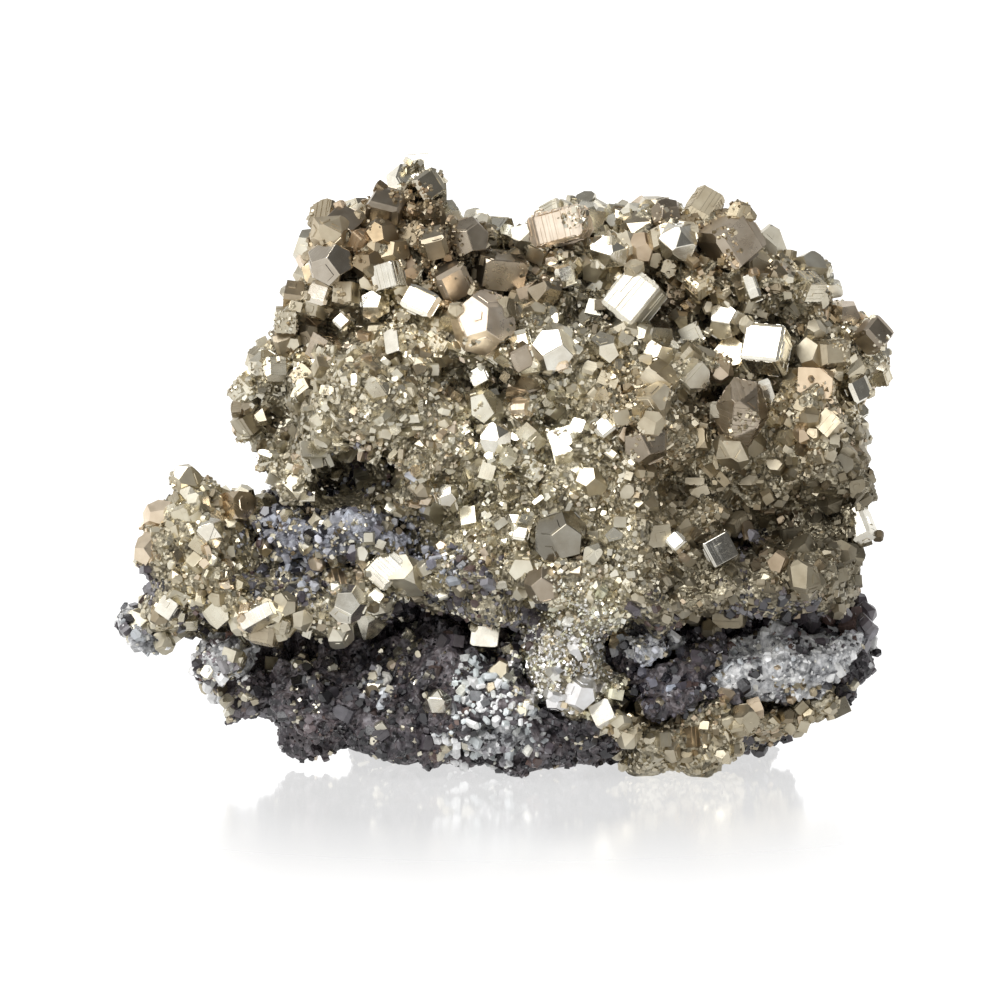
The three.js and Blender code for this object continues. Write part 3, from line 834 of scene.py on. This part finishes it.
def crystal_faces(own, polygons, size, rng):
    """A single crystal's faces with their growth marks, as arrays."""
    axes = [face_normal(p) for p in sorted(polygons, key=lambda q: -np.ptp(q, axis=0).max())[:3]]
    satin = SATIN.get(own, TARNISHED_SATIN if own in TARNISHED else 0.0)
    soup = Soup()
    for polygon in polygons:
        n = face_normal(polygon)
        along = max(axes, key=lambda a: 1 - abs(np.dot(a, n)))
        along = along - n * np.dot(along, n)
        along = along / norm(along) if norm(along) > 0.05 else None
        tone = rng.uniform(0.94, 1.05)
        tint = (*(np.array(shade_of(own)) * tone), rng.uniform(0.06, 0.16) + satin)
        grown_face(soup, polygon, size, tint, rng, along, 0.3, STRIATED.get(own, 0.0))
    return soup.arrays()


def satellites(own, polygons, centre, size, rng):
    """Small crystals grown into the back half of a single crystal, as arrays, or None."""
    count = 2 if own == "summit_peak" else rng.integers(5, 10)
    picks = rng.choice(len(polygons), count)
    spots = np.array([polygons[k][rng.integers(len(polygons[k]))] for k in picks])
    spots = centre + (spots - centre) * rng.uniform(0.75, 1.02, (count, 1))
    spots = spots[spots[:, 1] > centre[1] - 0.22 * size]
    if not len(spots):
        return None
    spins = spun(rng, rng.normal(0, 1, (len(spots), 3)), 0.2)
    widths = size * rng.uniform(0.2, 0.42, len(spots))
    return set_down(SATELLITES, spots, spins, widths, brass_tints(spots, rng), rng)


taken, singles = [], {}
for number, node in enumerate(nodes_called("crystal_")):
    own = node.replace("crystal_", "")
    rng = np.random.default_rng(100 + number)
    polygons = hull_faces(node)
    corners = np.concatenate(polygons)
    centre = (corners.min(axis=0) + corners.max(axis=0)) / 2
    size = norm(corners - centre, axis=1).max() * 2
    grown = [crystal_faces(own, polygons, size, rng), satellites(own, polygons, centre, size, rng)]
    arrays = [np.concatenate(column) for column in zip(*[part for part in grown if part])]
    metal = STRIATED_METAL if own in STRIATED else CRYSTAL_METAL
    mesh = build_mesh(node, *arrays)
    singles[own] = piece("single_" + own, mesh, metal, [node])
    taken.append((Vector(centre), size * 0.5))

# ---- the druse
tree = tree_of([mass, rock, *seams])
mass_surface = Surface([mass])
shape_rng = np.random.default_rng(7)
COARSE = [Template(shape_rng, f, 0.22, 0.22, 0.3, t)
          for f, t in [(TRUNCATED, 0.9), (BEVELLED, 0.0), (PENTAGONAL, 0.0), (BLUNT, 0.0),
                       (CUBIC, 0.9), (BEVELLED, 0.6), (TRUNCATED, 0.0), (PENTAGONAL, 0.0)] * 3]
MEDIUM = [Template(shape_rng, f, 0.22, 0.24, 0.2)
          for f in [TRUNCATED, BEVELLED, PENTAGONAL, BLUNT, CUBIC] * 6]
FINE = [Template(shape_rng, f, 0.24, 0.3) for f in [CUBIC, PENTAGONAL, CUBIC, CUBIC] * 6]
LATHS = [Template(shape_rng, TRUNCATED, 0.15, 0.0, 0.3, 0.5) for _ in range(12)]
for lath in LATHS:
    lath.points = lath.points * np.array([shape_rng.uniform(0.25, 0.45), 0.8, 1.3])

# Size classes, coarsest first: templates, smallest and largest diameter in mm, crystals per square
# mm where the pyrite is fine and where it is coarse, and how far apart they keep.
CLASSES = [
    (COARSE, 4.2, 6.8, 0.0, 0.09, 0.46),
    (COARSE, 2.6, 4.2, 0.012, 0.3, 0.44),
    (MEDIUM, 1.6, 2.6, 0.16, 0.75, 0.46),
    (FINE, 0.95, 1.6, 1.5, 1.2, 0.45),
    (FINE, 0.6, 1.0, 3.4, 0.8, 0.46),
]


def grow_druse(surface, classes, rng, taken, level, tints_of, sink=(0.05, 0.3), tilt=0.55,
               shown=everywhere):
    """Sets the classes of crystals down on a surface. level(points) is how coarse it is, and
    shown(points) the share of them that grow. Their hearts lie in the surface, lifted or sunk by
    the shares `sink` of their diameter."""
    grown = []
    for templates, small, large, at_fine, at_coarse, overlap in classes:
        densest = max(at_fine, at_coarse)
        count = int(surface.area.sum() / MM**2 * densest)
        points, normals = surface.sample(count, rng)
        wanted = (at_fine + (at_coarse - at_fine) * level(points) ** 1.7) * shown(points)
        keep = rng.random(count) < wanted / densest
        widths = (small + (large - small) * rng.random(count) ** 1.6) * MM
        keep &= points[:, 2] + normals[:, 2] * 0.1 * widths > 0.52 * widths + 0.1 * MM
        index = np.nonzero(keep)[0]
        keep[index] = open_to_air(points[index], normals[index], tree, 1.2)
        chosen = spaced(points, widths / 2, keep, taken, overlap)
        if not len(chosen):
            continue
        points, normals, widths = points[chosen], normals[chosen], widths[chosen]
        lift = rng.uniform(-sink[1], sink[0], len(chosen))
        heart = points + normals * (widths * lift)[:, None]
        grown.append((heart, spun(rng, normals, tilt), widths, tints_of(heart, rng), templates))
    return grown


def druse_pieces(name, grown, rng, material, zones):
    """One piece for each zone of the specimen. zones is [(name, test of the positions)]."""
    made = []
    for label, test in zones:
        parts = []
        for heart, spins, widths, tints, templates in grown:
            here = test(heart)
            if here.any():
                parts.append(set_down(templates, heart[here], spins[here], widths[here],
                                      tints[here], rng))
        if parts:
            arrays = [np.concatenate(column) for column in zip(*parts)]
            mesh = build_mesh(f"{name}_{label}", *arrays)
            made.append(piece(f"{name}_{label}", mesh, material))
    return made


def front(points):
    """True on the front of the specimen."""
    return points[:, 1] < ZONED_TO


def back(points):
    """True on its back."""
    return ~front(points)


def between(low, high, side):
    """A test for one side from a low to a high level, in mm."""
    return lambda p: side(p) & (p[:, 2] > low * MM) & (p[:, 2] <= high * MM)


ZONES = [
    ("front_top", between(52, 1000, front)), ("front_middle", between(36, 52, front)),
    ("front_low", between(20, 36, front)), ("front_foot", between(-1000, 20, front)),
    ("back_top", between(48, 1000, back)), ("back_low", between(-1000, 48, back)),
]
SIDES = [("front", front), ("back", back)]

rng = np.random.default_rng(21)
LATH_CLASSES = [(LATHS, 2.4, 4.2, 0.0, 0.2, 0.34)]
SUGAR_CLASSES = [(FINE, 0.4, 0.85, 7.0, 7.0, 0.46)]


def in_spots(spots):
    """A function that is 1 in these spots and 0 elsewhere."""
    return lambda p: within(p, spots)


def in_drifts(steepness, closeness, shift, threshold):
    """A function that is 1 in drifts of its own and 0 between them."""
    return lambda p: np.clip(steepness * drifts(closeness * p + shift) - threshold, 0, 1)


def grow_all(rng, tints_of, layers):
    """Grains grown one layer after another: (surface, classes, sink, tilt, shown)."""
    grown = []
    for surface, classes, sink, tilt, shown in layers:
        grown += grow_druse(surface, classes, rng, [], drifts, tints_of, sink, tilt, shown)
    return grown


def clear_of_spots(p):
    """The share of the druse left where the dark mineral or the finest pyrite takes its place."""
    return (1 - 0.93 * within(p, DARK_SPOTS)) * (1 - 0.8 * within(p, FINE_SPOTS))


laths = grow_druse(mass_surface, LATH_CLASSES, rng, taken, everywhere, brass_tints, tilt=0.35,
                   shown=in_spots(LATH_SPOTS))
druse = grow_druse(mass_surface, CLASSES, rng, taken, coarseness, brass_tints, shown=clear_of_spots)
druse += grow_druse(mass_surface, SUGAR_CLASSES, rng, [], everywhere, brass_tints, (0.1, 0.2), 0.8,
                    in_spots(FINE_SPOTS))
made = druse_pieces("druse", laths + druse, rng, DRUSE_METAL, ZONES)

# Fine grains on the larger crystals, in drifts; the brightest faces are clean.
DUST = [(FINE, 0.7, 1.2, 0.8, 0.8, 0.46), (FINE, 0.4, 0.8, 2.0, 2.0, 0.46)]
DUST_SPOTS = [(-10, 74, 5), (-1, 56.5, 3.4), (20, 58, 3), (-9, 61, 3), (27, 62, 3),
              (-20, 63, 3), (35, 45, 3.5)]
DUSTED = TARNISHED | ROSY | {"summit_peak"}


def dusty(p):
    """How thick the fine grains lie."""
    spots = within(p, DUST_SPOTS) + 4 * within(p, FINE_SPOTS)
    return np.clip(5 * drifts(2.6 * p + 0.23) - 3.3 + spots, 0, 1)


overgrown = [single for own, single in singles.items() if own in DUSTED]
dust = grow_druse(Surface(overgrown + made[:2]), DUST, rng, [], everywhere, brass_tints,
                  (0.1, 0.25), 0.8, dusty)
druse_pieces("dust", dust, rng, DRUSE_METAL, SIDES)


# ---- grains on rock and quartz
# Tints of the rock's grains: near black, grey-purple, red-brown and pale grey.
DARK = [(0.022, 0.02, 0.024), (0.085, 0.072, 0.082), (0.1, 0.064, 0.056), (0.21, 0.2, 0.22)]
PALE = [(0.66, 0.66, 0.66), (0.44, 0.46, 0.48), (0.13, 0.13, 0.14), (0.8, 0.78, 0.72)]

# Places of the front where the grains on rock and quartz are darker or paler: across, up, reach in
# mm and what the tints are multiplied by. The heel's quartz (-36, 14.5) is lightened against the
# overhang's shadow, a painted light.
GRAIN_TONES_AND_PAINTED_LIGHT = [
    (-29, 31, 9, (0.56, 0.57, 0.66)), (-13, 30, 7, (0.62, 0.64, 0.74)),
    (-36, 14.5, 5, (2.3, 2.2, 2.1)), (-2.5, 6.5, 5, (1.7, 1.73, 1.66)),
    (-20, 9.5, 7, (0.2, 0.2, 0.22)), (-10, 17.5, 5, (0.4, 0.38, 0.4)),
    (-23, 5, 3, (1.2, 0.9, 0.82)), (-6, 12.5, 3.5, (1.7, 1.75, 1.7)),
    (-15, 11, 3, (1.5, 1.5, 1.5)), (36, 14, 9, (1.2, 1.2, 1.18)), (19, 11, 5, (0.75, 0.78, 0.9)),
]


def drifting(shades, shares, breadth, rough):
    """A tint function: the shades lie in drifts of this breadth in mm."""

    def tints(points, rng):
        drift = noise_at(points / (breadth * MM) + 9.0)
        pick = np.clip(rng.random(len(points)) + 0.8 * drift, 0, 0.999)
        colours = np.array(shades)[np.searchsorted(np.cumsum(shares), pick)]
        own = rng.uniform(0.7, 1.35, (len(points), 1))
        colours = np.minimum(colours * shade_at(points, GRAIN_TONES_AND_PAINTED_LIGHT) * own, 0.9)
        return np.column_stack([colours, rng.uniform(*rough, len(points))])

    return tints


dark_tints = drifting(DARK, [0.44, 0.3, 0.14, 0.12], 4.0, (0.03, 0.35))
pale_tints = drifting(PALE, [0.45, 0.28, 0.15, 0.12], 3.0, (0.05, 0.35))
# Where stray pyrite lies thick on the rock and the quartz.
GOLD_SPOTS = [(-37, 9, 5), (-13, 14.5, 2.4), (-27, 17, 4), (3, 13, 4), (-30, 29, 4), (-16, 27, 4),
              (-23, 26, 3), (-25, 32, 2.4), (-18.5, 30.5, 2.2), (-42, 18, 2.4), (-20.5, 28.5, 2)]
# Where quartz grains lie thick on the rock.
CRUSTED_SPOTS = [(-1.5, 7, 5.5), (1.5, 5, 3), (-5, 12.5, 2.4), (-15.5, 11.5, 1.8), (-36.5, 14, 4)]
ROCK_CLASSES = [
    (COARSE, 2.0, 3.6, 0.01, 0.05, 0.46),
    (MEDIUM, 1.2, 2.2, 0.06, 0.45, 0.44),
    (FINE, 0.6, 1.2, 0.9, 1.5, 0.44),
    (FINE, 0.4, 0.7, 1.2, 0.8, 0.45),
]
rock_surface = Surface([rock])
seam_surface = Surface(seams)
VEINED_CLASSES = [(MEDIUM, 1.2, 2.6, 0.25, 0.25, 0.45), (FINE, 0.6, 1.2, 1.6, 1.6, 0.44)]
grains = grow_all(rng, dark_tints, [
    (rock_surface, ROCK_CLASSES, (0.0, 0.36), 1.0, lambda p: 1 - 0.97 * within(p, CRUSTED_SPOTS)),
    (mass_surface, VEINED_CLASSES, (0.05, 0.3), 1.0, in_spots(DARK_SPOTS)),
    (seam_surface, VEINED_CLASSES, (0.02, 0.3), 1.0, in_drifts(2.6, 2.4, 0.11, 1.1)),
])
# Dark grains that close the crevice below the right end of the lip and stand in for its shadow:
# painted shade.
CREVICE_LOW, CREVICE_HIGH, IN_CREVICE = (33, -5, 16.8), (45, 8, 19.8), 90
painted_shade_grains = rng.uniform(CREVICE_LOW, CREVICE_HIGH, (IN_CREVICE, 3)) * MM
spins = spun(rng, rng.normal(0, 1, (IN_CREVICE, 3)), 0.5)
widths = rng.uniform(2, 4.2, IN_CREVICE) * MM
grains.append((painted_shade_grains, spins, widths, dark_tints(painted_shade_grains, rng), COARSE))
druse_pieces("grains", grains, rng, ROCK_GRAIN, SIDES)

STRAY = [(COARSE, 2.0, 3.8, 0.0, 0.16, 0.5), (MEDIUM, 1.0, 2.2, 0.0, 0.6, 0.46),
         (FINE, 0.5, 1.1, 0.0, 1.8, 0.46)]


def strewn(points):
    """How thickly stray pyrite lies: thin and in drifts, thick in a few spots."""
    thin = in_drifts(2.0, 1.9, 0.07, 0.55)(points)
    return np.clip(0.16 * thin + within(points, GOLD_SPOTS), 0, 1)


stray = grow_druse(Surface([rock, *seams]), STRAY, rng, [], lambda p: drifts(p) ** 0.3,
                   brass_tints, (0.1, 0.25), 1.0, strewn)
druse_pieces("stray", stray, rng, DRUSE_METAL, SIDES)

quartz_rng = np.random.default_rng(5)
NEEDLES = [Template(quartz_rng, [(PRISM, 0.3), (POINT, 0.5)], 0.15, 0.1) for _ in range(10)]
QUARTZ_CLASSES = [(NEEDLES, 1.2, 2.6, 0.1, 0.25, 0.5), (NEEDLES, 0.5, 1.1, 0.6, 1.4, 0.45)]
CRUSTED_CLASSES = [(NEEDLES, 1.2, 2.8, 0.9, 0.9, 0.36), (NEEDLES, 0.5, 1.2, 5.0, 5.0, 0.38)]
STRAY_CLASSES = [(NEEDLES, 0.9, 2.2, 0.0, 0.14, 0.5)]
sugar = grow_all(rng, pale_tints, [
    (seam_surface, QUARTZ_CLASSES, (0.0, 0.3), 0.6, everywhere),
    (mass_surface, QUARTZ_CLASSES, (0.05, 0.25), 0.8, in_spots(PALE_SPOTS)),
    (rock_surface, CRUSTED_CLASSES, (0.05, 0.25), 0.8, in_spots(CRUSTED_SPOTS)),
    (rock_surface, STRAY_CLASSES, (0.0, 0.3), 0.8, in_drifts(2.4, 2.1, 0.19, 1.3)),
])
druse_pieces("sugar", sugar, rng, QUARTZ_GRAIN, SIDES)

# ---- floor, light, camera
HALF = 4.0  # of the floor's width
FLOOR_CORNERS = [(-HALF, -HALF, 0), (HALF, -HALF, 0), (HALF, HALF, 0), (-HALF, HALF, 0)]
floor_mesh = bpy.data.meshes.new("floor")
floor_mesh.from_pydata(FLOOR_CORNERS, [], [(0, 1, 2, 3)])
# Polished near the specimen and matt further off. The floor glows, a painted light that washes out
# the specimen's shadow: dimmer near the specimen and paler further off, so that the reflection
# fades.
floor_material, floor_shader, add_to_floor = node_tree("floor")
floor_shader.inputs["Base Color"].default_value = (0.12, 0.12, 0.12, 1)
floor_shader.inputs["Emission Color"].default_value = (1, 1, 1, 1)
on_floor = add_to_floor("TexCoord").outputs["Object"]
far = add_to_floor("VectorMath", {0: on_floor}, operation="LENGTH").outputs["Value"]
polish = mapped(add_to_floor, far, (0.04, 0.13), (0.08, 0.6))
floor_glow = mapped(add_to_floor, far, (0.045, 0.14), (0.65, 1.1))
floor_mesh.materials.append(wired(floor_material, floor_shader, Roughness=polish,
                                  Emission_Strength=floor_glow))
placed("floor", floor_mesh)

# A square softbox, up on the left, that looks at the middle of the specimen.
AZIMUTH, ELEVATION, KEY_DISTANCE = math.radians(-34), math.radians(46), 1.2
lamp = bpy.data.lights.new("key", "AREA")
lamp.shape, lamp.size, lamp.size_y, lamp.energy = "RECTANGLE", 0.8, 0.8, 8.5
key = placed("key", lamp)
level_out = Vector((math.sin(AZIMUTH), -math.cos(AZIMUTH), 0)) * math.cos(ELEVATION)
out = level_out + Vector((0, 0, math.sin(ELEVATION)))
key.location = Vector((0, 0, 0.035)) + out * KEY_DISTANCE
key.rotation_euler = out.to_track_quat("Z", "Y").to_euler()

world = bpy.data.worlds.new("studio")
scene.world = world
world.use_nodes = True
background = world.node_tree.nodes["Background"]
background.inputs["Color"].default_value = (1, 1, 1, 1)
sky = adder(world.node_tree)

# A white sweep behind the specimen, a bright wall on the left, the glow round the softbox, and a
# dim room elsewhere. The camera itself sees plain white.
TO_KEY = (-0.39, -0.58, 0.72)
DIM_ROOM = 0.18
around = sky("TexCoord").outputs["Generated"]
way = sky("SeparateXYZ", {"Vector": around})
to_key = sky("VectorMath", {0: around, 1: TO_KEY}, operation="DOT_PRODUCT").outputs["Value"]
smooth = {"interpolation_type": "SMOOTHSTEP"}
behind = mapped(sky, way.outputs["Y"], (-0.1, 0.7), (0.0, 0.9), **smooth)
low = mapped(sky, way.outputs["Z"], (0.75, 0.3), (0.0, 1.0), **smooth)
left = mapped(sky, way.outputs["X"], (0.3, -0.8), (0.0, 0.42), **smooth)
glow = mapped(sky, to_key, (0.45, 0.95), (0.0, 0.75), **smooth)
light = total(sky, behind, low, "MULTIPLY")
for more in (left, glow, DIM_ROOM):
    light = total(sky, light, more)
seen = sky("LightPath").outputs["Is Camera Ray"]
level = sky("Mix", {0: seen, 2: light, 3: 1.0}, data_type="FLOAT")
world.node_tree.links.new(level.outputs[0], background.inputs["Strength"])

CAMERA_DISTANCE = 1.6
LOOKED_AT = (-0.75, 34.4)  # across and up, in mm
camera = bpy.data.cameras.new("camera")
camera.sensor_width = 36.0
camera.lens = 460.8
camera.clip_end = 20.0
eye = placed("camera", camera)
out = Vector((0, -math.cos(EYE), math.sin(EYE)))
target = Vector((LOOKED_AT[0], -SHIFT_Y, (LOOKED_AT[1] - TABLE_UP) / math.cos(EYE))) * MM
eye.location = target + out * CAMERA_DISTANCE
eye.rotation_euler = out.to_track_quat("Z", "Y").to_euler()
scene.camera = eye
scene.view_settings.view_transform = "Standard"
